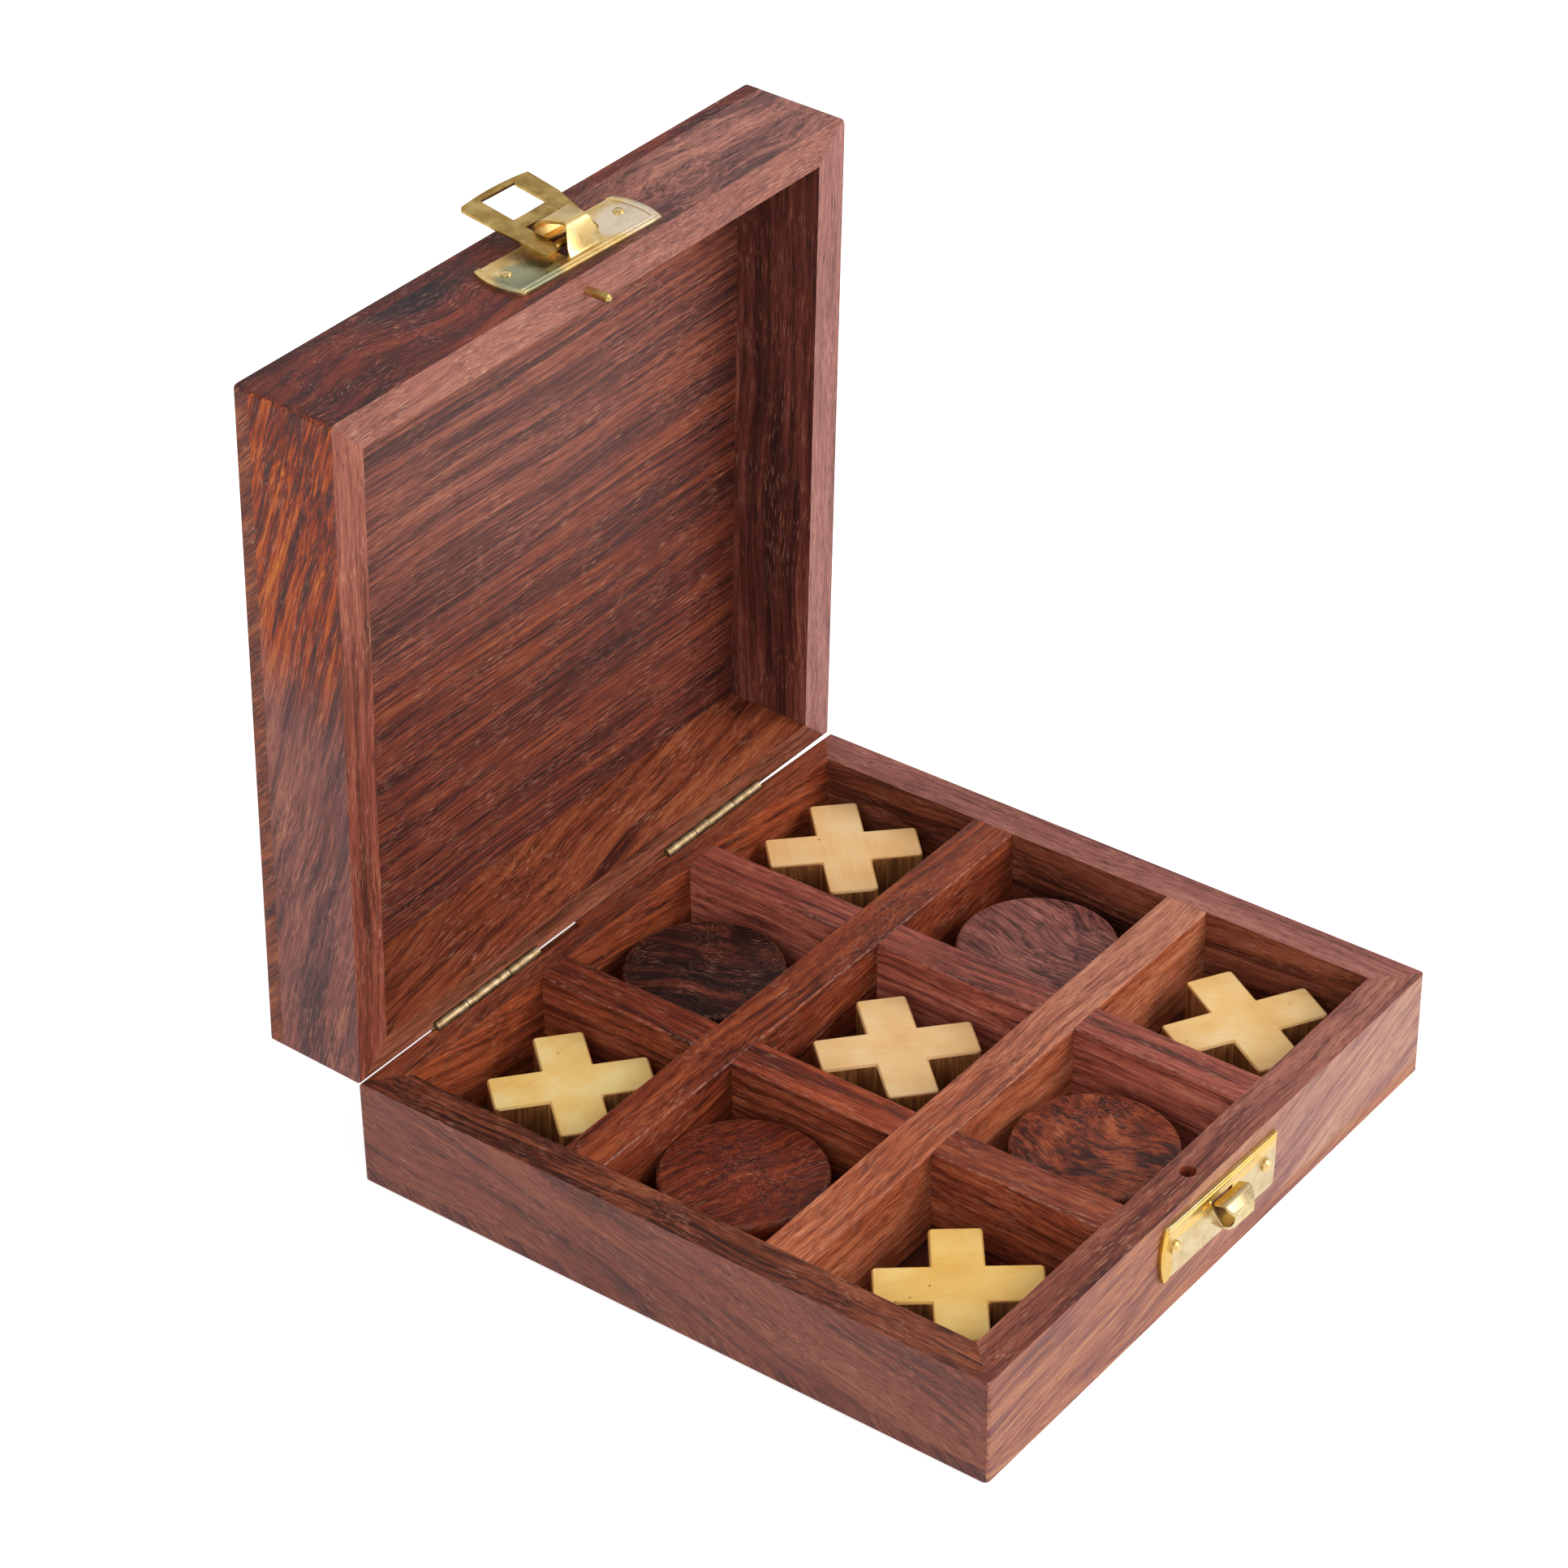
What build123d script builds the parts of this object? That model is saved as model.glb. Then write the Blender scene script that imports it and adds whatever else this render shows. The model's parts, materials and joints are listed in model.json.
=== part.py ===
from build123d import *

import os
from math import cos, radians, sin, tan

# Tic-tac-toe board: a hinged hardwood box whose base holds nine cells, with brass fittings and nine
# loose pieces. Lengths are in millimetres and angles in degrees. The box stands on z = 0, with its origin
# at the middle of the base's underside. The latch side faces -Y and the hinge side +Y. The lid and its
# fittings are drawn closed, and are then swung open about the hinge axis, which is how the box rests.

# Box
box_width = 127.0
box_depth = 124.5
panel_thickness = 3.0
base_frame_height = 17.3
lid_frame_height = 16.6
side_wall = 6.8
front_wall = 6.9
back_wall = 6.0
seam_gap = 0.3
base_back_slope = 30.0
lid_back_slope = 60.0
worn_back_slope = 50.0
worn_reach = (0.07, 0.62)
corner_round = 1.0
lid_worn_corner_round = 2.2
panel_edge_chamfer = 0.4
across_divider = 8.1
along_divider = 7.1

# Playing pieces
piece_height = 11.5
piece_clearance = 0.3
cross_arm = 8.7
cross_play = 2.375
cross_corner = 0.5
nought_play = 1.9

# Slot hinges
hinge_length = 26.2
hinge_spacing = 61.4
hinge_shift = -1.2
barrel_radius = 0.9
leaf_sheet = 0.4
leaf_depth = 9.0
middle_knuckle = 10.8
knuckle_gap = 0.2
pin_clearance = 0.05
pin_recess = 0.6
kerf_clearance = 0.3
kerf_overcut = 11.0
kerf_chip_depth = 1.05
lid_open_angle = 87.75
hinge_nail_radius = 0.5
hinge_nail_length = 4.6
hinge_nail_depth = 5.2
nail_clearance = 0.03

# Locating pin
locating_pin_radius = 0.75
locating_pin_reach = 4.6
locating_pin_sunk = 6.0
locating_pin_x = -3.8
locating_hole_radius = 1.45
locating_hole_depth = 6.0

# Latch: the two brass plates, the swinging loop and the hook
latch_x = 0.75
latch_tilt = -2.0
latch_sheet = 0.5
pivot_above_rim = 6.4
pivot_height = 1.9
plate_length = 35.0
plate_end_arc = 1.2
plate_end_band = 1.4
catch_right_end = 16.3
catch_right_arc = 0.2
band_rise = 0.2
ridge_radius = 0.35
ridge_pitch = 0.75
ridge_margin = 0.05
hasp_plate_height = 10.4
hasp_plate_shift = -0.65
hasp_plate_above_pivot = 0.5
catch_plate_height = 10.8
catch_plate_above_foot = 1.23
catch_corner_round = 0.8
plate_nail_spacing = 26.6
plate_nail_radius = 0.5
plate_nail_length = 5.0
hasp_nail_head = 0.95
hasp_nail_rise = 0.35
catch_nail_head = 1.15
catch_nail_rise = 0.8
hasp_nail_offset = 1.2
loop_width = 16.3
loop_side_strip = 4.1
loop_rod_radius = 0.65
loop_ear = 1.0
loop_ear_reach = (-7.7, 5.0)
loop_shoulder = (7.85, -10.0)
loop_small_window = 5.45
loop_middle_bar = 2.55
loop_big_window = 7.1
loop_tip_strip = 0.95
loop_tip_slope = -0.55
loop_tip_bow = 0.4
loop_corner_round = 0.6
loop_fold_angle = 173.0
hook_width = 7.4
hook_nose_round = 2.4
hook_clearance = 0.45
shoulder_width = 2.6
shoulder_rise = 0.85

# Middle lines of the two bent strips, as points (up, out), and the slots they leave in their plates.
# The strap is placed from the pivot and the hook from its foot.
strap_bends = [(-2.4, 0.25), (-0.4, 5.15), (3.9, 4.6), (5.55, 2.6), (4.4, 1.1), (2.7, 1.25)]
strap_bend_radii = [0.9, 1.2, 0.8, 0.5]
strap_widths = [(-3.0, 7.4), (-2.0, 7.4), (-0.4, 4.6), (4.0, 7.0), (7.0, 7.0)]
strap_slot = (-2.1, 4.6)
hook_bends = [(0.55, 0.25), (0.35, 4.9), (2.7, 5.2), (4.6, 3.3), (4.1, 1.5)]
hook_bend_radii = [1.3, 0.9, 0.6]
hook_cheek = [(0.4, 0.25), (0.2, 3.5), (4.4, 0.25)]
hook_slot = (0.6, 3.6)

# Places that follow from the sizes
half_width = box_width / 2
half_depth = box_depth / 2
base_height = panel_thickness + base_frame_height
lid_rim = base_height + seam_gap
lid_panel_bottom = lid_rim + lid_frame_height
inner_x = half_width - side_wall
inner_front = front_wall - half_depth
inner_back = half_depth - back_wall
inner_depth = inner_back - inner_front
cell_x = (2 * inner_x - 2 * along_divider) / 3
cell_y = (inner_depth - 2 * across_divider) / 3
column_pitch = cell_x + along_divider
row_pitch = cell_y + across_divider
middle_y = (inner_front + inner_back) / 2
front_wall_middle = front_wall / 2 - half_depth
hinge_y = half_depth - barrel_radius
hinge_z = base_height + seam_gap / 2
hinges_left = hinge_shift - (hinge_spacing + hinge_length) / 2
hinges_right = hinge_shift + (hinge_spacing + hinge_length) / 2
pivot_z = lid_rim + pivot_above_rim
loop_small_end = loop_ear + loop_small_window
loop_window_edge = loop_small_end + loop_middle_bar
loop_window_end = loop_window_edge + loop_big_window
loop_tip = loop_window_end + loop_tip_strip
hook_foot = hook_clearance - loop_window_end
catch_y = hook_foot + catch_plate_above_foot
hasp_nail_y = hasp_plate_above_pivot + hasp_nail_offset
lap_height = panel_thickness + base_frame_height / 2
nought_radius = cell_y / 2 - nought_play

lid_swing = Pos(0, hinge_y, hinge_z) * Rot(-lid_open_angle, 0, 0) * Pos(0, -hinge_y, -hinge_z)
latch_place = Pos(latch_x, -half_depth, pivot_z) * Rot(90, 0, 0) * Rot(0, 0, latch_tilt)

nodes = {}


def box_between(low, high):
    """A box between two opposite corners."""
    size = [b - a for a, b in zip(low, high)]
    return Pos(*low) * Box(*size, align=Align.MIN)


def rod(start, direction, length, radius):
    """A round rod that leaves its start point along a direction."""
    circle = Plane(origin=start, z_dir=direction) * Circle(radius)
    return extrude(circle, length, direction)


# Box frames and panels


def rounded_outline(front_right_round):
    """The box from above; one corner can be rounder than the others."""
    outline = Rectangle(box_width, box_depth)
    outline = fillet(outline.vertices().sort_by(toward_front_right)[:-1], corner_round)
    return fillet(outline.vertices().sort_by(toward_front_right)[-1], front_right_round)


def toward_front_right(corner):
    place = corner.center()
    return place.X - place.Y


def outline_corners(half_x, front, back):
    return [(-half_x, front), (half_x, front), (half_x, back), (-half_x, back)]


def planed_sliver(rim, toward, slope, places):
    """What is planed off the outer back edge of a rim, so that the lid can swing past upright.

    Each place is a point along the box and how far in front of the hinge axis the planing starts there.
    """
    back = half_depth + 1
    sections = []
    for x, reach in places:
        start = hinge_y - reach
        depth = toward * (back - start) * tan(radians(slope))
        corners = [(start, rim), (start, rim - toward), (back, rim - toward), (back, rim + depth)]
        place = Plane(origin=(x, 0, 0), x_dir=(0, 1, 0), z_dir=(1, 0, 0))
        sections.append(place * make_face(Polyline(corners, close=True)))
    return loft(sections)


def frame_sticks(outline, bottom, height, planed):
    """Four mitred sticks, less what is planed off their outer back edge."""
    outside = outline_corners(half_width, -half_depth, half_depth)
    inside = outline_corners(inner_x, inner_front, inner_back)
    sticks = {}
    for side, name in enumerate(["front", "right", "back", "left"]):
        after = (side + 1) % 4
        corners = [outside[side], outside[after], inside[after], inside[side]]
        footprint = make_face(Polyline(corners, close=True))
        sticks[name] = Pos(0, 0, bottom) * extrude(footprint & outline, height)
        for sliver in planed:
            sticks[name] -= sliver
    return sticks


def panel(outline, bottom, outer_face):
    sheet = extrude(outline, panel_thickness)
    sheet = chamfer(sheet.edges().group_by(Axis.Z)[outer_face], panel_edge_chamfer)
    return Pos(0, 0, bottom) * sheet


# Dividers: the two that run across keep their upper half at each crossing


def across(y):
    half, lap = across_divider / 2, along_divider / 2
    stick = box_between((-inner_x, y - half, panel_thickness), (inner_x, y + half, base_height))
    for x in (-column_pitch / 2, column_pitch / 2):
        stick -= box_between((x - lap, y - half, 0), (x + lap, y + half, lap_height))
    return stick


def along(x):
    half, lap = along_divider / 2, across_divider / 2
    stick = box_between((x - half, inner_front, panel_thickness), (x + half, inner_back, base_height))
    for y in (middle_y - row_pitch / 2, middle_y + row_pitch / 2):
        stick -= box_between((x - half, y - lap, lap_height), (x + half, y + lap, base_height))
    return stick


# Slot hinges: a base leaf, a lid leaf and a pin, in kerfs sawn into the two back walls


def knuckle(start, end):
    tube = rod((start, 0, 0), (1, 0, 0), end - start, barrel_radius)
    return tube - rod((start, 0, 0), (1, 0, 0), end - start, barrel_radius - leaf_sheet)


def hinge_leaf(spans, downward):
    """A leaf about the hinge axis: its sheet, and rolled knuckles over the given spans of the axis."""
    half = hinge_length / 2
    near = barrel_radius + knuckle_gap
    faces = (-barrel_radius, leaf_sheet - barrel_radius)
    leaf = box_between((-half, faces[0], near), (half, faces[1], leaf_depth))
    for start, end in spans:
        leaf += box_between((start, faces[0], 0), (end, faces[1], near))
        leaf += knuckle(start, end)
    leaf -= rod((0, -2, hinge_nail_depth), (0, 1, 0), 4, hinge_nail_radius + nail_clearance)
    return Rot(0, 180, 0) * leaf if downward else leaf


def hinge_nail(up):
    """A brass nail driven in from the back face, through the middle of a leaf."""
    start = (0, half_depth - hinge_y - nail_clearance, up * hinge_nail_depth)
    return rod(start, (0, -1, 0), hinge_nail_length, hinge_nail_radius)


def hinge_room(up, overcut):
    """What is cut from a back wall for one hinge: its kerf, the barrel's inlet and the nail's hole.

    Where the kerf runs on past the hinge, the thin lip of wood behind it has broken away.
    """
    half = hinge_length / 2 + kerf_clearance
    depth = up * (leaf_depth + kerf_clearance)
    kerf_back = leaf_sheet - barrel_radius + kerf_clearance
    low = (-half, -barrel_radius - kerf_clearance, min(0, depth))
    high = (half + overcut, kerf_back, max(0, depth))
    room = box_between(low, high) + rod((-half, 0, 0), (1, 0, 0), 2 * half, barrel_radius + kerf_clearance)
    start = (0, half_depth - hinge_y + 1, up * hinge_nail_depth)
    room += rod(start, (0, -1, 0), hinge_nail_length + 1 + nail_clearance, hinge_nail_radius + nail_clearance)
    if overcut:
        chip = (half, kerf_back, -seam_gap / 2 - kerf_chip_depth)
        room += box_between(chip, (half + overcut, half_depth - hinge_y + 1, 1))
    return room


# Latch, drawn about its pivot axis: X along the axis, Y up the box, Z out from the wood


def plate_outline(left, right, right_arc, height):
    """A plate with straight long edges and gently curved ends."""
    half = height / 2
    left_corner, right_corner = left + plate_end_arc, right - right_arc
    edge = Line((left_corner, half), (right_corner, half))
    edge += ThreePointArc((right_corner, half), (right, 0), (right_corner, -half))
    edge += Line((right_corner, -half), (left_corner, -half))
    edge += ThreePointArc((left_corner, -half), (left, 0), (left_corner, half))
    return make_face(edge)


def latch_plate(height, mating_side, right, right_arc, right_band):
    """A pressed plate with a raised band at its left end and two ridges along its mating edge.

    The hasp's right end is like its left one, and the catch's is cut off nearly straight, with no band.
    """
    left = -plate_length / 2
    outline = plate_outline(left, right, right_arc, height)
    field = plate_outline(left + plate_end_band, right - right_band, right_arc, height)
    plate = extrude(outline, latch_sheet) + extrude(outline - field, latch_sheet + band_rise)
    ridge_start = left + plate_end_arc + ridge_radius
    ridge_end = right - right_arc - ridge_radius
    for row in (0, 1):
        y = mating_side * (height / 2 - ridge_radius - ridge_margin - row * ridge_pitch)
        plate += rod((ridge_start, y, latch_sheet), (1, 0, 0), ridge_end - ridge_start, ridge_radius)
    return plate


def side_view(section, start, width):
    """Turns a section drawn as (up, out) to face along the pivot, and gives it a width."""
    return Plane(origin=(start, 0, 0), x_dir=(0, 1, 0), z_dir=(1, 0, 0)) * extrude(section, width)


def bent_strip(points, radii, width):
    """A strip of sheet metal bent along a middle line."""
    section = trace(FilletPolyline(*points, radius=radii), latch_sheet)
    return side_view(section, -width / 2, width)


def hasp_strap():
    """The eye of the hasp plate: it rises at its foot, folds back over the pivot and curls down behind it."""
    widest = max(width for up, width in strap_widths)
    strip = bent_strip(strap_bends, strap_bend_radii, widest)
    right = [(width / 2, up) for up, width in strap_widths]
    left = [(-x, up) for x, up in reversed(right)]
    return strip & extrude(make_face(Polyline(right + left, close=True)), plate_length)


def nail_hole(x, y):
    return rod((x, y, -1), (0, 0, 1), latch_sheet + 3, plate_nail_radius + nail_clearance)


def plate_nails(center_x, y, head_radius, rise):
    """Two nails with raised heads, driven through a plate into the wall."""
    head = rod((0, 0, 0), (0, 0, 1), rise, head_radius)
    head = chamfer(head.edges().group_by(Axis.Z)[-1], 0.6 * rise)
    nail = Pos(0, 0, latch_sheet) * (head + rod((0, 0, 0), (0, 0, -1), plate_nail_length, plate_nail_radius))
    return [Pos(center_x + side * plate_nail_spacing / 2, y, 0) * nail for side in (-1, 1)]


def nail_bores(center_x, y):
    """The holes that a plate's nails make in the wall behind it."""
    bores = []
    for side in (-1, 1):
        x = center_x + side * plate_nail_spacing / 2
        bores.append(rod((x, y, 1), (0, 0, -1), plate_nail_length + 1, plate_nail_radius + nail_clearance))
    return bores


def hasp_plate():
    plate = latch_plate(hasp_plate_height, -1, plate_length / 2, plate_end_arc, plate_end_band)
    plate = Pos(hasp_plate_shift, hasp_plate_above_pivot, 0) * plate
    half = strap_widths[0][1] / 2
    plate -= box_between((-half, strap_slot[0], -1), (half, strap_slot[1], 2))
    plate += hasp_strap()
    for side in (-1, 1):
        plate -= nail_hole(hasp_plate_shift + side * plate_nail_spacing / 2, hasp_nail_y)
    return plate


def catch_plate():
    plate = latch_plate(catch_plate_height, 1, catch_right_end, catch_right_arc, 0)
    lower_corner = plate.edges().filter_by(Axis.Z).sort_by(toward_front_right)[-1]
    plate = Pos(0, catch_plate_above_foot, 0) * fillet(lower_corner, catch_corner_round)
    half = hook_width / 2 - latch_sheet
    plate -= box_between((-half, hook_slot[0], -1), (half, hook_slot[1], 2))
    plate = Pos(0, hook_foot, 0) * (plate + catch_hook())
    for side in (-1, 1):
        plate -= nail_hole(side * plate_nail_spacing / 2, catch_y)
    return plate


def catch_hook():
    """The catch, placed from its foot: a tongue that stands out from its plate, turns up and curls back.

    A cheek closes its left flank, with a low shoulder pressed beside it.
    """
    strip = bent_strip(hook_bends, hook_bend_radii, hook_width)
    nose = max(out for up, out in hook_bends) + latch_sheet / 2
    plan = box_between((-hook_width / 2, -hook_width, 0), (hook_width / 2, hook_width, nose))
    plan = fillet(plan.edges().filter_by(Axis.Y).group_by(Axis.Z)[-1], hook_nose_round)
    cheek = side_view(make_face(Polyline(hook_cheek, close=True)), -hook_width / 2, latch_sheet)
    left, low = -hook_width / 2, latch_sheet / 2
    slope = Polyline((left - shoulder_width, low), (left, low), (left, low + shoulder_rise + low), close=True)
    shoulder = Plane.XZ * extrude(make_face(slope), hook_slot[0] - hook_slot[1])
    return (strip & plan) + cheek + Pos(0, hook_slot[0], 0) * shoulder


def hasp_loop():
    """The swinging loop, closed: two windows, with the hook in the larger and the strap in the smaller.

    A round rod between its two ears turns in the strap, and its bowed tip is bent in toward the box.
    """
    half = loop_width / 2
    inner = half - loop_side_strip
    corner = loop_tip_bow - loop_tip
    left, right = loop_ear_reach
    edge = Polyline((-half, corner), (left, loop_ear), (right, loop_ear), loop_shoulder, (half, corner))
    edge += ThreePointArc((half, corner), (0, -loop_tip), (-half, corner))
    plan = fillet(make_face(edge).vertices(), loop_corner_round)
    above = (Align.CENTER, Align.MIN)
    plan -= Pos(0, -loop_small_end) * Rectangle(2 * inner, loop_small_end + half, align=above)
    plan -= Pos(0, -loop_window_end) * Rectangle(2 * inner, loop_big_window, align=above)
    bend = -loop_window_end - latch_sheet / 2
    bends = [(half, 0), (bend, 0), (bend - half, loop_tip_slope * half)]
    strip = bent_strip(bends, [latch_sheet], loop_width)
    rod_reach = inner + latch_sheet
    turning_rod = rod((-rod_reach, 0, 0), (1, 0, 0), 2 * rod_reach, loop_rod_radius)
    return (strip & extrude(plan, loop_tip, both=True)) + turning_rod


# Playing pieces


def cross_piece():
    length = cell_y - 2 * cross_play
    outline = Rectangle(length, cross_arm) + Rectangle(cross_arm, length)
    arm_ends = outline.vertices().filter_by(lambda corner: max(abs(corner.X), abs(corner.Y)) > cross_arm)
    return extrude(chamfer(arm_ends, cross_corner), piece_height)


def cross_reach(angle):
    """How far a turned cross reaches from its middle along X, and so along Y."""
    long, short = cell_y / 2 - cross_play, cross_arm / 2
    c, s = abs(cos(radians(angle))), abs(sin(radians(angle)))
    return max(long * c + short * s, long * s + short * c)


def in_cell(piece, column, row, reach, shift, angle=0):
    """Lays a piece in a cell; shift is where it lies in the cell's play, from -1 to 1 each way."""
    x = column * column_pitch + shift[0] * (cell_x / 2 - reach - piece_clearance)
    y = middle_y + row * row_pitch + shift[1] * (cell_y / 2 - reach - piece_clearance)
    return Pos(x, y, panel_thickness) * Rot(0, 0, angle) * piece


# Base
base_outline = rounded_outline(corner_round)
lid_outline = rounded_outline(lid_worn_corner_round)

# Outside the hinges the base was planed steeper, and deeper toward its right end
whole_back = [(-half_width, 0), (half_width, 0)]
left_end = [(-half_width, 0), (hinges_left, 0)]
right_end = [(hinges_right, worn_reach[0]), (half_width, worn_reach[1])]
base_planed = [planed_sliver(base_height, -1, base_back_slope, whole_back)]
base_planed += [planed_sliver(base_height, -1, worn_back_slope, places) for places in (left_end, right_end)]
lid_planed = [planed_sliver(lid_rim, 1, lid_back_slope, whole_back)]
base_sticks = frame_sticks(base_outline, panel_thickness, base_frame_height, base_planed)
lid_sticks = frame_sticks(lid_outline, lid_rim, lid_frame_height, lid_planed)
hole_bottom = (locating_pin_x, front_wall_middle, base_height - locating_hole_depth)
base_sticks["front"] -= rod(hole_bottom, (0, 0, 1), locating_hole_depth + 1, locating_hole_radius)
for bore in nail_bores(0, catch_y):
    base_sticks["front"] -= latch_place * bore

# The hinges stand either side of the middle; the left base kerf was sawn too long
hinge_leaves = {}
half = hinge_length / 2
middle = middle_knuckle / 2
pin_length = hinge_length - 2 * pin_recess
pin_radius = barrel_radius - leaf_sheet - pin_clearance
end_spans = [(-half, -middle - knuckle_gap / 2), (middle + knuckle_gap / 2, half)]
middle_span = [(knuckle_gap / 2 - middle, middle - knuckle_gap / 2)]
base_hinge_nails, lid_hinge_nails = [], []
for name, side in (("left", -1), ("right", 1)):
    place = Pos(hinge_shift + side * hinge_spacing / 2, hinge_y, hinge_z)
    base_sticks["back"] -= place * hinge_room(-1, kerf_overcut if name == "left" else 0)
    lid_sticks["back"] -= place * hinge_room(1, 0)
    nodes[f"hinge_{name}_base_leaf"] = place * hinge_leaf(end_spans, True)
    nodes[f"hinge_{name}_pin"] = place * rod((-pin_length / 2, 0, 0), (1, 0, 0), pin_length, pin_radius)
    hinge_leaves[f"hinge_{name}_lid_leaf"] = place * hinge_leaf(middle_span, False)
    base_hinge_nails.append(place * hinge_nail(-1))
    lid_hinge_nails.append(place * hinge_nail(1))

for name, stick in base_sticks.items():
    nodes[f"base_{name}_wall"] = stick
nodes["base_bottom_panel"] = panel(base_outline, 0, 0)
nodes["divider_across_front"] = across(middle_y - row_pitch / 2)
nodes["divider_across_back"] = across(middle_y + row_pitch / 2)
nodes["divider_along_left"] = along(-column_pitch / 2)
nodes["divider_along_right"] = along(column_pitch / 2)
nodes["hinge_base_nails"] = Compound(base_hinge_nails)
nodes["catch_plate"] = latch_place * catch_plate()
catch_nails = plate_nails(0, catch_y, catch_nail_head, catch_nail_rise)
nodes["catch_nails"] = Compound([latch_place * nail for nail in catch_nails])

# Lid
for bore in nail_bores(hasp_plate_shift, hasp_nail_y):
    lid_sticks["front"] -= latch_place * bore
pin_top = (locating_pin_x, front_wall_middle, lid_rim + locating_pin_sunk)
pin_bore = rod(pin_top, (0, 0, -1), locating_pin_sunk + 1, locating_pin_radius + nail_clearance)
lid_sticks["front"] -= pin_bore
locating_pin = rod(pin_top, (0, 0, -1), locating_pin_sunk + locating_pin_reach, locating_pin_radius)
lid_nodes = {f"lid_{name}_wall": stick for name, stick in lid_sticks.items()}
lid_nodes["lid_top_panel"] = panel(lid_outline, lid_panel_bottom, -1)
lid_nodes["locating_pin"] = chamfer(locating_pin.edges().group_by(Axis.Z)[0], locating_pin_radius / 2)
lid_nodes.update(hinge_leaves)
lid_nodes["hinge_lid_nails"] = Compound(lid_hinge_nails)
lid_nodes["hasp_plate"] = latch_place * hasp_plate()
hasp_nails = plate_nails(hasp_plate_shift, hasp_nail_y, hasp_nail_head, hasp_nail_rise)
lid_nodes["hasp_nails"] = Compound([latch_place * nail for nail in hasp_nails])
fold = Pos(0, 0, pivot_height) * Rot(-loop_fold_angle, 0, 0)
lid_nodes["hasp_loop"] = latch_place * fold * hasp_loop()
for name, closed in lid_nodes.items():
    nodes[name] = lid_swing * closed

# Crosses and noughts, as they lie in the cells: name, column, row, place in the play, and angle
crosses = [
    ("cross_front_left", -1, -1, (-0.48, -0.93), -52.2),
    ("cross_front_right", 1, -1, (0.56, -0.95), -30.5),
    ("cross_middle", 0, 0, (0.56, 0.43), -42.3),
    ("cross_back_left", -1, 1, (0.84, -0.59), -40.9),
    ("cross_back_right", 1, 1, (0.78, 0.85), -45.6),
]
noughts = [
    ("nought_front", 0, -1, (-0.38, -0.06)),
    ("nought_left", -1, 0, (0.35, 0.97)),
    ("nought_right", 1, 0, (-0.48, -0.97)),
    ("nought_back", 0, 1, (0.13, 0.16)),
]
for name, column, row, shift, angle in crosses:
    nodes[name] = in_cell(cross_piece(), column, row, cross_reach(angle), shift, angle)
nought = Cylinder(nought_radius, piece_height, align=(Align.CENTER, Align.CENTER, Align.MIN))
for name, column, row, shift in noughts:
    nodes[name] = in_cell(nought, column, row, nought_radius, shift)

os.makedirs("parts", exist_ok=True)
for name, shape in nodes.items():
    export_step(shape, f"parts/{name}.step")

pivot_frame = lid_swing * latch_place * Pos(0, 0, pivot_height)
pivot_end = pivot_frame * Pos(1, 0, 0)
print("lid hinge", hinge_y, hinge_z)
print("loop pivot", pivot_frame.position, "direction", pivot_end.position - pivot_frame.position)
print("cell", cell_x, cell_y, "pitch", column_pitch, row_pitch, "middle", middle_y, "nodes", len(nodes))
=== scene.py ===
import json
import math

import bmesh
import bpy
from mathutils import Matrix, Vector


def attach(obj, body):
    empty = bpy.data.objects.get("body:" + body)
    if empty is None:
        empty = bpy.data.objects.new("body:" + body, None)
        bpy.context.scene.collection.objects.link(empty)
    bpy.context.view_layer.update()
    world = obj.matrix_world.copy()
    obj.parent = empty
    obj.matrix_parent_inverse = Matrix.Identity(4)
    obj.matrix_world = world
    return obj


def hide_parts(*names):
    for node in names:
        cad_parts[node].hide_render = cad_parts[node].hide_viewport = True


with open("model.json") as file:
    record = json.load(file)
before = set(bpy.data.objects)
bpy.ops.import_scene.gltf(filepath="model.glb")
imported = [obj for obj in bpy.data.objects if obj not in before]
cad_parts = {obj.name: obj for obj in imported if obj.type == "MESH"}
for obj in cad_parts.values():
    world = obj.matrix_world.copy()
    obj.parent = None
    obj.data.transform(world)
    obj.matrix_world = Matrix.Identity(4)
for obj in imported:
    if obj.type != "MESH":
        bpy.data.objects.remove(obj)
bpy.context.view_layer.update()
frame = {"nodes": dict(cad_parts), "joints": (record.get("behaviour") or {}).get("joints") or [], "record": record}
nodes = frame["nodes"]
mm = 0.001
print("frame loaded:", len(nodes), "nodes")


# Colours are sRGB hex, as a paint chart gives them
def paint(code):
    channels = [int(code[i:i + 2], 16) / 255 for i in (1, 3, 5)]
    linear = [c / 12.92 if c <= 0.04045 else ((c + 0.055) / 1.055) ** 2.4 for c in channels]
    return (*linear, 1)


# One node with its settings, its inputs (values or links) and, for a ramp, its stops
def addNode(tree, kind, inputs=None, stops=None, **settings):
    node = tree.nodes.new("ShaderNode" + kind)
    for name, value in settings.items():
        setattr(node, name, value)
    for key, value in (inputs or {}).items():
        if isinstance(value, bpy.types.NodeSocket):
            tree.links.new(value, node.inputs[key])
        else:
            node.inputs[key].default_value = value
    if stops:
        ramp = node.color_ramp.elements
        while len(ramp) < len(stops):
            ramp.new(1)
        for element, (place, colour) in zip(ramp, stops):
            element.position = place
            element.color = paint(colour)
    return node


# A Mix of colours has number sockets of the same names, so its colours go by their places
under, over, mixed = 6, 7, 2


def newMaterial(name):
    material = bpy.data.materials.new(name)
    material.use_nodes = True
    material.node_tree.nodes.clear()
    return material, material.node_tree


def addOutput(tree, shader):
    addNode(tree, "OutputMaterial", {"Surface": shader})


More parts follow.
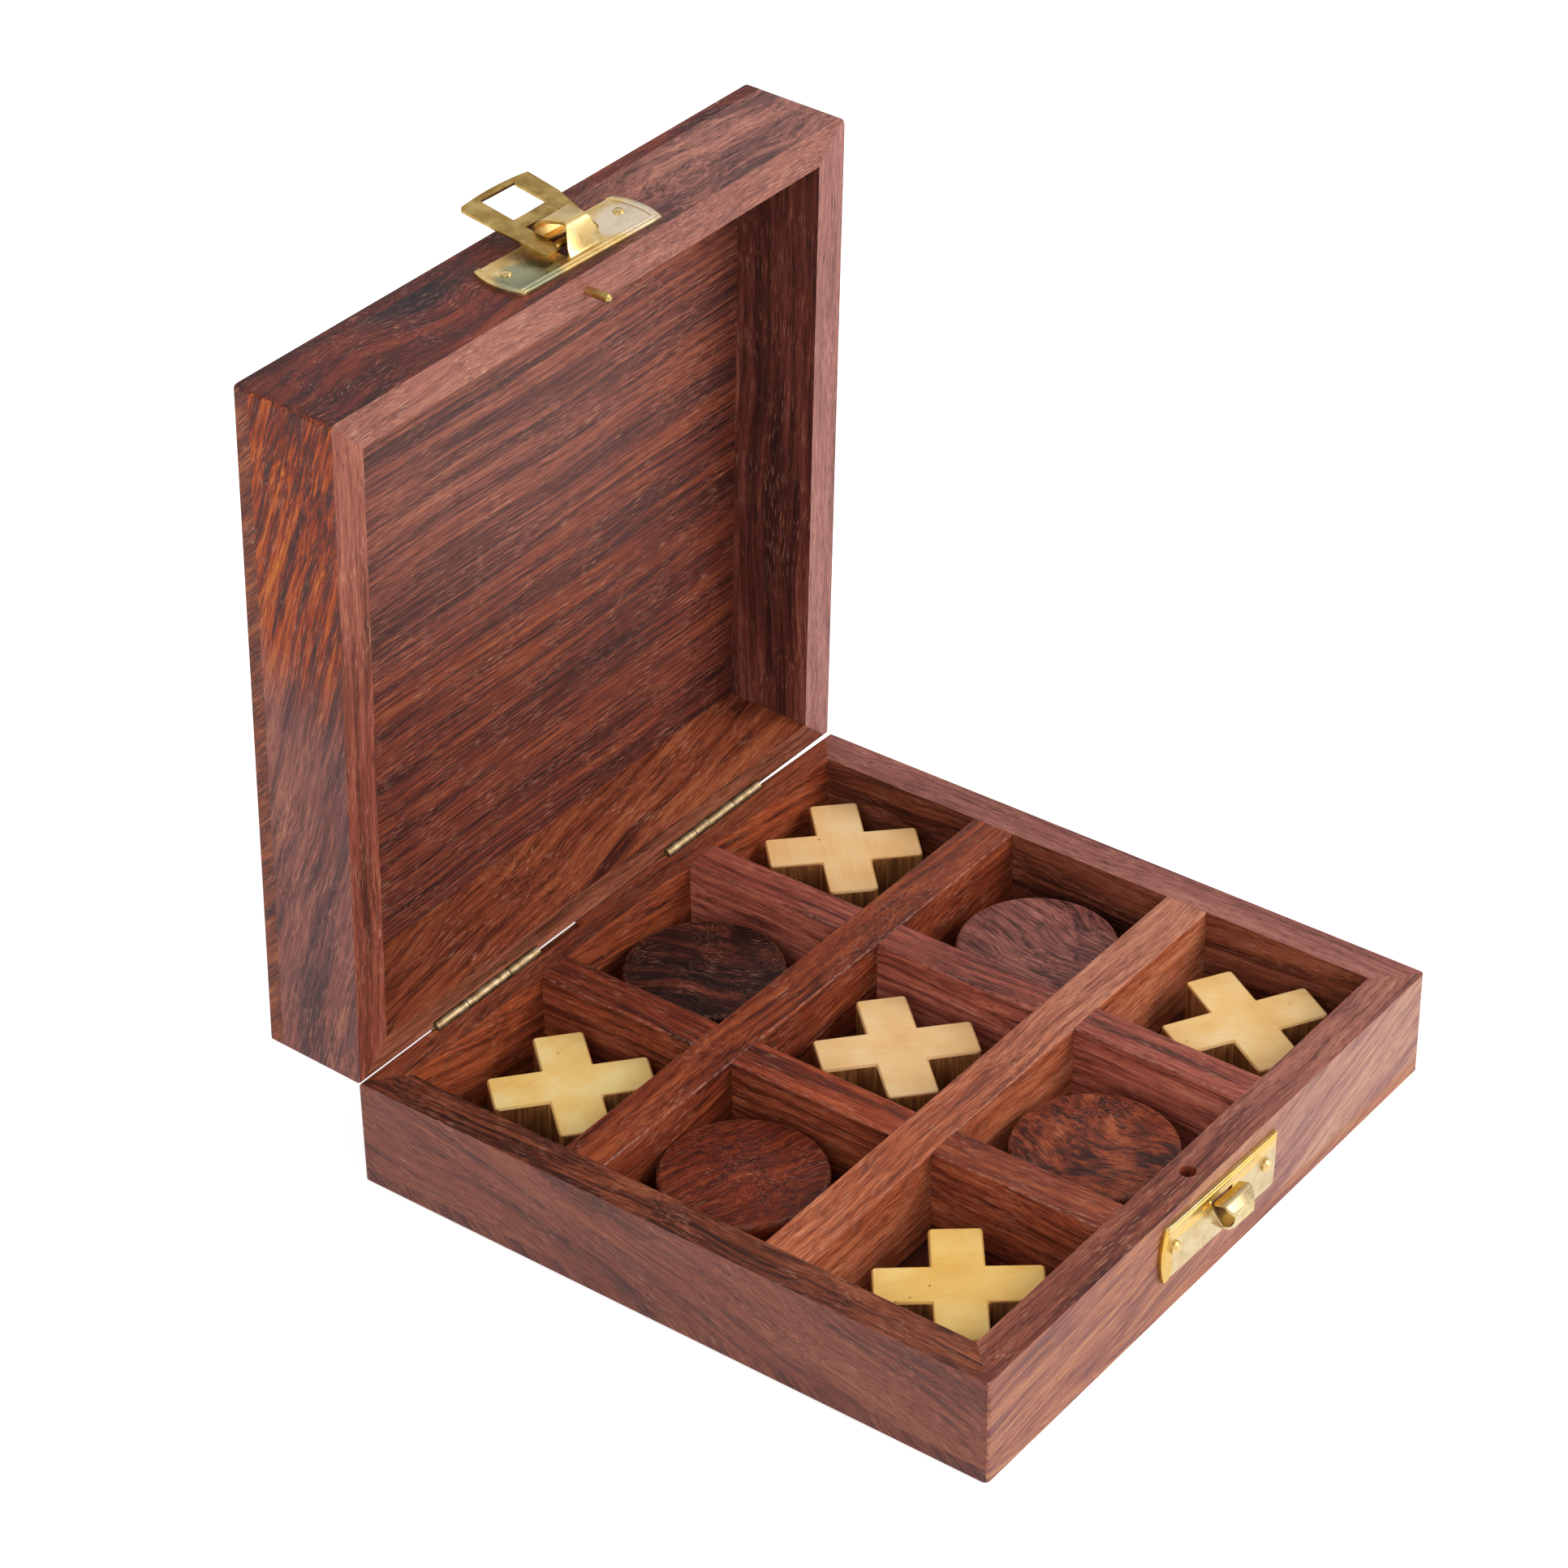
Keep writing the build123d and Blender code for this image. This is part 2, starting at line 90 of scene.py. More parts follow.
# Noise with a grain of the given size in millimetres, drawn out so many times along each axis
def drawnNoise(tree, place, size, drawn, detail, roughness=0.5):
    stretched = addNode(tree, "Mapping", {"Vector": place, "Scale": [1 / times for times in drawn]})
    return addNode(tree, "TexNoise", {
        "Vector": stretched.outputs[0], "Scale": 1 / (size * mm), "Detail": detail, "Roughness": roughness,
    }).outputs["Fac"]


# How much of a zone's own colour each point takes: the zone is an ellipsoid, and a noise frays its border
def insideZone(tree, place, noise, zone, fray, soft):
    near = addNode(tree, "Mapping", {
        "Vector": place, "Location": [-middle / size for middle, size in zip(zone["at"], zone["size"])],
        "Scale": [1 / (size * mm) for size in zone["size"]],
    })
    distance = addNode(tree, "VectorMath", {0: near.outputs[0]}, operation="LENGTH")
    border = addNode(tree, "Math", {
        0: noise, 1: fray, 2: distance.outputs["Value"],
    }, operation="MULTIPLY_ADD")
    edge = 1 + fray / 2
    return addNode(tree, "MapRange", {
        "Value": border.outputs[0], "From Min": edge - soft, "From Max": edge + soft,
        "To Min": zone["share"], "To Max": 0,
    }).outputs[0]


# How far the lid's frame turns until it is shut, which is how its sticks' finishes are laid out
lidHinge = next(joint for joint in frame["joints"] if joint["name"] == "lid_hinge")
shutAngle = math.radians(lidHinge["range_deg"][1])
shutLid = Matrix.Rotation(shutAngle, 3, Vector(lidHinge["axis"]))
asItLies = Matrix.Identity(3)

# Sheesham, the rosewood of the box: open pored, sanded and oiled, so it is matt, with many thin dark streaks
# between redder ones, purple veins, and short pale flecks where sanding dust fills the pores. Sizes are in
# millimetres across the grain, and the lengths of grain, veins and flecks say how many times longer they are.
sheesham = {
    "tones": ["#2A1212", "#55271D", "#7C3D2B", "#9A5438", "#BC7C58"],
    "places": [0.22, 0.38, 0.5, 0.62, 0.8],
    "grain": "x", "slope": 0, "twist": 0, "start": (0, 0, 0),  # axis, degrees, and where in the log it lay
    "drift": 1.2, "driftLength": 38, "arch": 0,  # how its lines wander, and how far they bow
    "figure": 8, "figureLength": 9, "figureShare": 0.7,
    "streak": 1.25, "streakLength": 34, "streakShare": 1.25,
    "fibre": 0.3, "fibreLength": 30, "fibreShare": 0.7,
    "vein": 2.8, "veinLength": 15, "veinWidth": 0.035, "veinShare": 0.55, "veinTone": "#2A1416",
    "fleck": "#C48D72", "fleckShare": 0.4, "fleckSize": 0.17, "fleckLength": 14, "fleckLimit": 0.64,
    "dustPatch": 7, "pore": "#2A1412", "poreShare": 0.45,
    # The colour of eased faces, paler in places: partly wear, partly a painted highlight
    "easedFace": "#BC8670", "easedFaceShare": 0.35, "paleSpotSize": 1.1,
    "roughness": 0.55, "depth": 0.06, "zones": [],
}
grainTurns = {"x": (0, 0, 0), "y": (0, 0, -90), "z": (0, 90, 0)}
grainKinds = {  # detail and roughness
    "figure": (3, 0.5), "streak": (5, 0.62), "fibre": (2, 0.7), "vein": (2, 0.5),
}
driftGain = 4  # brings the noise, which seldom leaves its middle by more than an eighth, to the drift
archReach = 60  # the arch is how far a line bows at this distance from its middle, in millimetres
zoneFray = 1.2  # how far the figure of the wood moves the border of a zone


# The lines of a board run along its grain, wander, and bow where the tree was bent
def boardLines(tree, place, look, onLid):
    turn = Vector(grainTurns[look["grain"]])
    if look["grain"] == "x":
        turn.y += look["slope"]
    else:
        turn.x += look["slope"]
    if onLid:
        turn.x += math.degrees(shutAngle)
    turn.z += look["twist"]
    board = addNode(tree, "Mapping", {
        "Vector": place, "Location": Vector(look["start"]) * mm,
        "Rotation": [math.radians(angle) for angle in turn],
    }).outputs[0]
    drift = addNode(tree, "TexNoise", {
        "Vector": board, "Scale": 1 / (look["driftLength"] * mm), "Detail": 1,
    })
    sway = addNode(tree, "VectorMath", {
        0: drift.outputs["Color"], 1: (0.5, 0.5, 0.5),
    }, operation="SUBTRACT")
    amount = look["drift"] * driftGain * mm
    swayed = addNode(tree, "VectorMath", {
        0: sway.outputs[0], 1: (0, amount, amount), 2: board,
    }, operation="MULTIPLY_ADD")
    along = addNode(tree, "SeparateXYZ", {0: board}).outputs["X"]
    square = addNode(tree, "Math", {0: along, 1: along}, operation="MULTIPLY")
    rise = addNode(tree, "Math", {
        0: square.outputs[0], 1: look["arch"] / (archReach * archReach * mm),
    }, operation="MULTIPLY")
    bow = addNode(tree, "CombineXYZ", {"Z": rise.outputs[0]})
    lines = addNode(tree, "VectorMath", {0: swayed.outputs[0], 1: bow.outputs[0]}, operation="ADD")
    return lines.outputs[0]


# Three sizes of grain add up to the tone of the wood, which is 0.5 at their middles
def woodTone(tree, grains, look):
    shares = {grain: look[grain + "Share"] for grain in ("figure", "streak", "fibre")}
    tone = 0.5 - 0.5 * sum(shares.values())
    for grain, share in shares.items():
        tone = addNode(tree, "Math", {
            0: grains[grain], 1: share, 2: tone,
        }, operation="MULTIPLY_ADD").outputs[0]
    return tone


# Dark veins run where the vein grain crosses its middle, thickest where the board is dark
def addVeins(tree, wood, tone, grain, look):
    offMiddle = addNode(tree, "Math", {0: grain, 1: 0.5}, operation="SUBTRACT")
    ridge = addNode(tree, "Math", {0: offMiddle.outputs[0]}, operation="ABSOLUTE")
    vein = addNode(tree, "MapRange", {
        "Value": ridge.outputs[0], "From Max": look["veinWidth"], "To Min": look["veinShare"], "To Max": 0,
    })
    where = addNode(tree, "MapRange", {"Value": tone, "From Min": 0.72, "From Max": 0.4, "To Min": 0.1})
    veined = addNode(tree, "Math", {0: vein.outputs[0], 1: where.outputs[0]}, operation="MULTIPLY")
    return addNode(tree, "Mix", {
        "Factor": veined.outputs[0], under: wood, over: paint(look["veinTone"]),
    }, data_type="RGBA").outputs[mixed]


# Pores are short dashes: pale ones in patches where dust fills them, and dark open ones
def addPores(tree, wood, place, lines, look):
    pores = drawnNoise(tree, lines, look["fleckSize"], (look["fleckLength"], 1, 1), 0)
    patches = addNode(tree, "TexNoise", {"Vector": place, "Scale": 1 / (look["dustPatch"] * mm), "Detail": 3})
    often = addNode(tree, "MapRange", {
        "Value": patches.outputs["Fac"], "From Min": 0.4, "From Max": 0.62, "To Max": look["fleckShare"],
    })
    pale = addNode(tree, "MapRange", {
        "Value": pores, "From Min": look["fleckLimit"], "From Max": look["fleckLimit"] + 0.06,
    })
    dust = addNode(tree, "Math", {0: pale.outputs[0], 1: often.outputs[0]}, operation="MULTIPLY")
    dusty = addNode(tree, "Mix", {
        "Factor": dust.outputs[0], under: wood, over: paint(look["fleck"]),
    }, data_type="RGBA").outputs[mixed]
    dark = addNode(tree, "MapRange", {
        "Value": pores, "From Min": 0.37, "From Max": 0.3, "To Max": look["poreShare"],
    }).outputs[0]
    pored = addNode(tree, "Mix", {
        "Factor": dark, under: dusty, over: paint(look["pore"]),
    }, data_type="RGBA").outputs[mixed]
    return pored, dark


# Eased edges are paler in places: partly rubbed, partly a painted highlight along the edges
def addEdgeWearAndHighlight(tree, wood, place, look):
    edge = addNode(tree, "Attribute", attribute_name="easedEdge")
    paleSpotNoise = addNode(tree, "TexNoise", {"Vector": place, "Scale": 1 / (look["paleSpotSize"] * mm), "Detail": 4})
    paleEdgeSpots = addNode(tree, "MapRange", {
        "Value": paleSpotNoise.outputs["Fac"], "From Min": 0.42, "From Max": 0.62, "To Max": look["easedFaceShare"],
    })
    wearAndHighlight = addNode(tree, "Math", {0: edge.outputs["Fac"], 1: paleEdgeSpots.outputs[0]}, operation="MULTIPLY")
    return addNode(tree, "Mix", {
        "Factor": wearAndHighlight.outputs[0], under: wood, over: paint(look["easedFace"]),
    }, data_type="RGBA").outputs[mixed]


def makeSheesham(name, look, onLid=False):
    material, tree = newMaterial(name)
    place = addNode(tree, "TexCoord").outputs["Object"]
    lines = boardLines(tree, place, look, onLid)
    grains = {}
    for grain, (detail, roughness) in grainKinds.items():
        drawn = (look[grain + "Length"], 1, 1)
        grains[grain] = drawnNoise(tree, lines, look[grain], drawn, detail, roughness)
    tone = woodTone(tree, grains, look)
    stops = list(zip(look["places"], look["tones"]))
    wood = addNode(tree, "ValToRGB", {"Fac": tone}, stops=stops).outputs[0]
    for zone in look["zones"]:
        inside = insideZone(tree, place, grains["figure"], zone, zoneFray, zone["soft"])
        own = addNode(tree, "ValToRGB", {"Fac": tone}, stops=list(zip(look["places"], zone["tones"])))
        wood = addNode(tree, "Mix", {
            "Factor": inside, under: wood, over: own.outputs[0],
        }, data_type="RGBA").outputs[mixed]
    wood = addVeins(tree, wood, tone, grains["vein"], look)
    wood, openPores = addPores(tree, wood, place, lines, look)
    wood = addEdgeWearAndHighlight(tree, wood, place, look)

    height = addNode(tree, "Math", {0: grains["fibre"], 1: openPores}, operation="SUBTRACT")
    bump = addNode(tree, "Bump", {
        "Height": height.outputs[0], "Strength": 0.6, "Distance": look["depth"] * mm,
    })
    dull = addNode(tree, "MapRange", {
        "Value": grains["streak"], "From Min": 0.3, "From Max": 0.7,
        "To Min": look["roughness"] - 0.07, "To Max": look["roughness"] + 0.1,
    })
    body = addNode(tree, "BsdfPrincipled", {
        "Base Color": wood, "Roughness": dull.outputs[0], "Normal": bump.outputs[0],
        "IOR": 1.5, "Specular IOR Level": 0.3,
    })
    addOutput(tree, body.outputs[0])
    return material


# Lengths in millimetres, and marks for eased faces
mergeGap = 0.002
holeEdges = (0.05, 1)  # a drilled hole's edge comes in pieces of such lengths
shortestEased = 0.3
fineEase = 0.12
holeEase = 0.3
easedMark, holeMark = 1, 2


# A copy of a node's mesh in one skin: its long edges get the wide easing, the rest the fine one. Where a
# hole has an easing of its own, that comes first, and the others leave it alone.
def easedCopy(node, wide, fine, longEdge=60, sharp=25, segments=3, hole=0):
    mesh = bpy.data.meshes.new(node + "Eased")
    work = bmesh.new()
    work.from_mesh(nodes[node].data)
    bmesh.ops.remove_doubles(work, verts=work.verts, dist=mergeGap * mm)
    bmesh.ops.dissolve_limit(work, angle_limit=math.radians(0.5), verts=work.verts, edges=work.edges)
    edgeMark = work.faces.layers.float.new("easedEdge")
    rounds = [(wide, longEdge, math.inf, easedMark), (fine, shortestEased, longEdge, easedMark)]
    if hole:
        rounds.insert(0, (hole, *holeEdges, holeMark))
    for width, least, most, mark in rounds:
        corners = []
        for edge in work.edges:
            if any(face[edgeMark] == holeMark for face in edge.link_faces):
                continue
            rightLength = least <= edge.calc_length() / mm < most
            if rightLength and edge.is_manifold and edge.calc_face_angle() > math.radians(sharp):
                corners.append(edge)
        made = bmesh.ops.bevel(
            work, geom=corners, offset=width * mm, segments=segments, affect="EDGES", profile=0.5,
            material=-1, clamp_overlap=True)
        for face in made["faces"]:
            face[edgeMark] = mark
            face.smooth = True
    work.to_mesh(mesh)
    work.free()
    piece = bpy.data.objects.new(node + "_finished", mesh)
    bpy.context.scene.collection.objects.link(piece)
    return piece


def smoothTurns(piece):
    piece.data.shade_smooth()
    piece.data.set_sharp_from_angle(angle=math.radians(35))


def dress(piece, node, body):
    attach(piece, body)
    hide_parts(node)


sides = {
    "front": Vector((0, -1, 0)), "right": Vector((1, 0, 0)),
    "back": Vector((0, 1, 0)), "left": Vector((-1, 0, 0)),
}
upward = Vector((0, 0, 1))
squarely = 0.6  # how squarely a face looks to a side to take its finish, as a cosine
pinHole = {"x": -3.8, "reach": 1.6, "largestFace": 4}  # millimetres


# Each face takes the finish of the side that it looks to, and the last finish where it looks to none or is
# part of the wall of the hole for the locating pin
def finishSides(piece, turned, finishes):
    easedFace = piece.data.attributes["easedEdge"].data
    for direction, least, finish in finishes:
        piece.data.materials.append(finish)
    for face in piece.data.polygons:
        normal = turned @ face.normal
        byHole = abs(face.center.x - pinHole["x"] * mm) < pinHole["reach"] * mm
        small = face.area < pinHole["largestFace"] * mm * mm
        drilled = byHole and small and easedFace[face.index].value == 0
        for number, (direction, least, finish) in enumerate(finishes):
            if direction is None or (normal.dot(direction) > least and not drilled):
                face.material_index = number
                break


# Frame sticks: the finish of the outside, rim and inside of each, and how far its long edges are eased. The
# insides of the base's front, left and right walls and of the lid's left and right walls are darker, as painted
# shade inside the box and lid.
baseSticks = {
    "front": {
        "all": {"grain": "x", "start": (3, 21, 9)}, "ease": 0.45,
        "outside": {
            "tones": ["#6B3D37", "#8E5648", "#A76E57", "#B57C5D", "#C28F6B"], "slope": 11, "arch": -4,
            "streak": 1.5, "vein": 2.3, "veinTone": "#6A4048", "veinShare": 0.65, "fleckShare": 0.2,
            "pore": "#6A4038",
            # The zone on the right is paler and pinker: a painted sheen of the key lamp
            "zones": [{
                "at": (45, -62, 12), "size": (42, 20, 20), "soft": 0.5, "share": 1,
                "tones": ["#7F5250", "#9A6B62", "#AE7F70", "#B88B77", "#C39D84"],
            }],
        },
        "rim": {
            "tones": ["#3C1914", "#602C22", "#783D2E", "#8A4B39", "#A0634B"], "streakShare": 0.9,
            "fleckShare": 0.6,
            # The zone on the right is paler and pinker: a painted sheen of the key lamp
            "zones": [{
                "at": (40, -59, 20), "size": (34, 12, 12), "soft": 0.5, "share": 0.8,
                "tones": ["#562C26", "#7B443B", "#975A4F", "#A66959", "#B8826D"],
            }],
        },
        "inside": {"tones": ["#311008", "#5A2214", "#7E321D", "#944027", "#AB5334"]},
    },
    "right": {
        "all": {"grain": "y", "start": (11, 5, 17)}, "ease": 0.45,
        "outside": {"slope": 6},
        "rim": {
            "tones": ["#5A2F2A", "#7C473E", "#8F5349", "#9D6056", "#AE7466"], "streakShare": 0.8,
            "fleckShare": 0.6,
        },
        "inside": {"tones": ["#38160E", "#562719", "#6F3520", "#814129", "#975339"]},
    },
    "back": {
        "all": {"grain": "x", "start": (7, 2, 31)}, "ease": 0.15,
        "outside": {},
        "rim": {"tones": ["#401A10", "#6D311D", "#843E24", "#954B2D", "#AD613B"], "streakShare": 1},
        "inside": {"tones": ["#481B0D", "#793319", "#944322", "#A54E29", "#B86139"], "slope": -8},
    },
    "left": {
        "all": {"grain": "y", "start": (0, 13, 4)}, "ease": 0.45,
        "outside": {
            "tones": ["#4B2824", "#65362D", "#7C4437", "#884E3D", "#975D46"], "slope": -15, "drift": 2.5,
            "figure": 11, "figureShare": 1, "streakShare": 0.8, "vein": 5, "veinWidth": 0.04,
            "veinShare": 0.5, "fleckShare": 0.35,
        },
        "rim": {"tones": ["#2D110B", "#522515", "#733722", "#86452B", "#9F5B39"], "slope": 3},
        "inside": {"tones": ["#38160E", "#562719", "#6F3520", "#814129", "#975339"]},
    },
}
lidSticks = {
    "front": {
        "all": {"grain": "x", "start": (5, 17, 3)}, "ease": 0.45,
        "outside": {
            "tones": ["#2F1113", "#461C19", "#5E2620", "#743326", "#89412D"], "drift": 2, "driftLength": 20,
            "streak": 1.9, "streakShare": 1.1, "vein": 2.2, "veinShare": 0.6,
            "zones": [{
                "at": (-29, 73, 144), "size": (11, 5, 12), "soft": 0.4, "share": 0.9,
                "tones": ["#130C12", "#20161D", "#322126", "#462E30", "#65423D"],
            }, {
                # This zone on the right is paler and pinker: a painted sheen of the key lamp
                "at": (50, 66, 144), "size": (34, 16, 12), "soft": 0.5, "share": 0.9,
                "tones": ["#5F3E3B", "#80514C", "#A0695D", "#B77B6B", "#CC9380"],
            }],
        },
        "rim": {
            "tones": ["#78473E", "#8E564A", "#9C6154", "#A56A58", "#AD7664"], "slope": 4, "streakShare": 1.1,
            "fibreShare": 1.1, "fleck": "#D8A98C", "fleckShare": 0.55, "veinTone": "#6A3E38",
        },
        "inside": {},
    },
    "right": {
        "all": {"grain": "y", "start": (9, 3, 12)}, "ease": 0.45,
        "outside": {"slope": 7},
        "rim": {
            "tones": ["#7A4B45", "#915D55", "#9F6861", "#A77169", "#B48277"], "streakShare": 1,
            "fibreShare": 1.1, "fleck": "#D4A592", "veinTone": "#7A4C48",
        },
        "inside": {"tones": ["#351813", "#52261D", "#663127", "#763C2F", "#975846"], "streak": 1.6},
    },
    "back": {
        "all": {"grain": "x", "start": (2, 8, 22)}, "ease": 0.15,
        "outside": {},
        "rim": {"tones": ["#482116", "#713C25", "#894B34", "#98573E", "#AC6B51"]},
        "inside": {
            "tones": ["#4A1C11", "#76361E", "#8E4429", "#9F5231", "#B7673F"], "slope": 10, "fleckShare": 0.6,
        },
    },
    "left": {
        "all": {"grain": "y", "start": (6, 1, 9)}, "ease": 0.45,
        "outside": {
            "tones": ["#472627", "#663C36", "#7C4841", "#8F564A", "#A56C55"], "slope": -15, "drift": 1.8,
            "streakLength": 20, "streakShare": 1.15, "vein": 5, "veinWidth": 0.05, "veinShare": 0.6,
            "zones": [{
                "at": (-63, 68, 128), "size": (20, 24, 33), "soft": 0.25, "share": 1,
                "tones": ["#1F0908", "#561D0E", "#903414", "#B5551E", "#D17C32"],
            }],
        },
        "rim": {
            "tones": ["#572B20", "#7B402F", "#905040", "#9E5E4B", "#B2735D"], "streakShare": 0.9,
            "veinShare": 0.25, "fleckShare": 0.6,
            "zones": [{
                "at": (-60, 61, 52), "size": (30, 30, 48), "soft": 0.5, "share": 0.85,
                "tones": ["#4A2016", "#6E3323", "#85402F", "#974E3C", "#B16B54"],
            }],
        },
        "inside": {"tones": ["#2D100A", "#4C2015", "#662E1D", "#783A26", "#8F4C37"]},
    },
}


def makeSticks(prefix, sticks, rimward, turned, onLid):
    for side, stick in sticks.items():
        node = prefix + "_" + side + "_wall"
        parts = (("rim", rimward, 0.8), ("outside", sides[side], 0.5), ("inside", None, 0))
        finishes = []
        for part, direction, least in parts:
            look = {**sheesham, **stick["all"], **stick[part]}
            finishes.append((direction, least, makeSheesham("Sheesham_" + node + "_" + part, look, onLid)))
        piece = easedCopy(node, stick["ease"], fineEase, hole=holeEase if side == "front" else 0)
        finishSides(piece, turned, finishes)
        dress(piece, node, prefix)


makeSticks("base", baseSticks, upward, asItLies, False)
makeSticks("lid", lidSticks, -upward, shutLid, True)
print("frame sticks made")

# Panels: glued on full size, so their edges show in the outside of the walls. On the left and right their
# grain runs out in short slanting ticks.
ticks = {
    "grain": "z", "slope": 48, "streak": 0.7, "streakLength": 10, "streakShare": 1, "figure": 4,
    "figureLength": 2, "drift": 0.5, "vein": 1.4, "veinLength": 5, "veinShare": 0.5,
}
panels = {
    "base_bottom_panel": {
        "body": "base", "outward": -upward, "ease": 0.7, "cornerEase": 0.9,
        "front": {**baseSticks["front"]["outside"], "start": (8, 3, 2), "slope": 2, "zones": []},
        "left": {**ticks, "tones": ["#42201C", "#5B2F28", "#713D32", "#804837", "#8F5742"]},
        "outside": {"start": (1, 7, 5)},
        # Its inside, the floor of the cells, is very dark: painted shade of the cells
        "inside": {"tones": ["#1C0805", "#37140E", "#4B1E12", "#5E2717", "#713722"]},
    },
    "lid_top_panel": {
        "body": "lid", "outward": upward, "ease": 0.7, "cornerEase": 0.9,
        "front": {**lidSticks["front"]["outside"], "start": (2, 9, 4), "zones": []},
        "left": {**ticks, "tones": ["#32120D", "#5A291C", "#763A27", "#8C4A2F", "#A9653F"]},
        "outside": {"start": (5, 2, 8)},
        "inside": {
            "start": (4, 4, 4), "twist": 1, "tones": ["#371815", "#50241F", "#6C3226", "#833D28", "#995435"],
            "streak": 0.6, "streakLength": 80, "streakShare": 1.3, "figure": 3, "figureLength": 24,
            "vein": 1.1, "veinLength": 40, "drift": 0.6, "fleckShare": 0.5,
            # The paler zone on the upper part of the lid's inner panel is painted light, as more light falls there
            # than lower down
            "zones": [{
                "at": (-10, 77, 110), "size": (60, 20, 26), "soft": 0.6, "share": 0.6,
                "tones": ["#513332", "#6C433D", "#87554C", "#9B6456", "#B27867"],
            }],
        },
    },
}
for node, panel in panels.items():
    onLid = panel["body"] == "lid"
    made = {}
    for part in ("front", "left", "outside", "inside"):
        made[part] = makeSheesham("Sheesham_" + node + "_" + part, {**sheesham, **panel[part]}, onLid)
    piece = easedCopy(node, panel["ease"], panel["cornerEase"])
    finishSides(piece, shutLid if onLid else asItLies, [
        (sides["front"], squarely, made["front"]), (sides["back"], squarely, made["front"]),
        (sides["left"], squarely, made["left"]), (sides["right"], squarely, made["left"]),
        (panel["outward"], squarely, made["outside"]), (None, 0, made["inside"]),
    ])
    dress(piece, node, panel["body"])

# Dividers: four sticks from other boards, the front one the palest, and the two along with paler sides, as painted
# light that makes up for the shade their sides lie in
dividers = {
    "divider_across_front": {
        "grain": "x", "start": (0, 5, 0), "tones": ["#743925", "#9C4C2E", "#B4623E", "#C7754F", "#DC926B"],
        "streakShare": 0.8, "fibreShare": 0.9, "veinShare": 0.25, "fleckShare": 0.6,
        # The zone on the right is paler and pinker: a painted sheen of the key lamp
        "zones": [{
            "at": (48, -20, 15), "size": (42, 20, 20), "soft": 0.5, "share": 0.75,
            "tones": ["#7A4438", "#9C5C4A", "#B4735C", "#C4866C", "#D8A086"],
        }],
    },
    "divider_across_back": {
        "grain": "x", "start": (0, 15, 5), "tones": ["#391207", "#62230E", "#7B3318", "#8B3D1F", "#A7552D"],
        "slope": 5,
    },
    "divider_along_left": {
        "grain": "y", "start": (8, 5, 0), "tones": ["#381209", "#5D2412", "#78311C", "#893F25", "#9F5231"],
        "sideTones": ["#43180D", "#6D2E18", "#8C3E24", "#A04E2E", "#B9653D"],
        "zones": [{
            "at": (-20, 4, 15), "size": (24, 25, 24), "soft": 0.5, "share": 0.8,
            "tones": ["#47180B", "#742D15", "#943C20", "#A94D2A", "#C36337"],
        }],
    },
    "divider_along_right": {
        "grain": "y", "start": (18, 25, 0), "tones": ["#51231B", "#7C3A2D", "#934739", "#A45644", "#B96D56"],
        "sideTones": ["#5F2D23", "#914838", "#AB5846", "#BF6A53", "#D78668"],
    },
}
for node, divider in dividers.items():
    look = {**sheesham, **divider}
    # The two along have side tones painted paler than their tops: painted light
    sideLook = {**look, "tones": look.get("sideTones", look["tones"]), "zones": []}
    piece = easedCopy(node, 0.3, fineEase, longEdge=20)
    finishSides(piece, asItLies, [
        (upward, squarely, makeSheesham("Sheesham_" + node, look)),
        (None, 0, makeSheesham("Sheesham_" + node + "_sides", sideLook)),
    ])
    dress(piece, node, "base")
print("panels and dividers made")

# Noughts: discs of darker sheesham, turned on the lathe, with blotches and a rim worn round
noughtLook = {
    **sheesham, "figure": 5, "figureShare": 1.1, "figureLength": 4, "streak": 1.6, "streakLength": 10,
    "streakShare": 1.1, "drift": 2.5, "driftLength": 20, "fleck": "#B07E66", "fleckShare": 0.5,
    # Its eased rim is paler in places, partly as a painted highlight
    "easedFace": "#8E5A44", "easedFaceShare": 0.6, "vein": 2.6, "veinLength": 6, "veinWidth": 0.05, "veinShare": 0.8,
    "veinTone": "#120A0B", "ease": 0.7,
}
noughts = {
    "nought_front": {
        "grain": "y", "start": (0, 3, 2), "tones": ["#411C14", "#5E2719", "#7F351F", "#914327", "#A95933"],
        "arch": 4, "streak": 1.2, "streakLength": 2.2, "figure": 4, "figureLength": 1.5,
    },
    "nought_left": {
        "grain": "x", "start": (4, 0, 7), "tones": ["#3A1107", "#581D0D", "#702811", "#803115", "#984624"],
        "twist": 25, "arch": 6, "figureShare": 0.5, "streak": 1, "streakLength": 22, "veinShare": 0.5,
        "vein": 2, "veinLength": 14,
    },
    "nought_right": {
        "grain": "y", "start": (1, 9, 3), "tones": ["#542F2E", "#6C3D37", "#864C46", "#9C5E52", "#B67869"],
        "twist": 10, "figureShare": 0.5, "streak": 0.9, "streakLength": 26,
    },
    "nought_back": {
        "grain": "x", "start": (3, 3, 3), "tones": ["#160A09", "#26100C", "#3A1811", "#54241A", "#7C3A26"],
        "twist": 65, "figureShare": 0.7, "streakLength": 16,
    },
}
for node, nought in noughts.items():
    look = {**noughtLook, **nought}
    piece = easedCopy(node, look["ease"], look["ease"])
    piece.data.materials.append(makeSheesham("Sheesham_" + node, look))
    smoothTurns(piece)
    dress(piece, node, node)
print("noughts made")

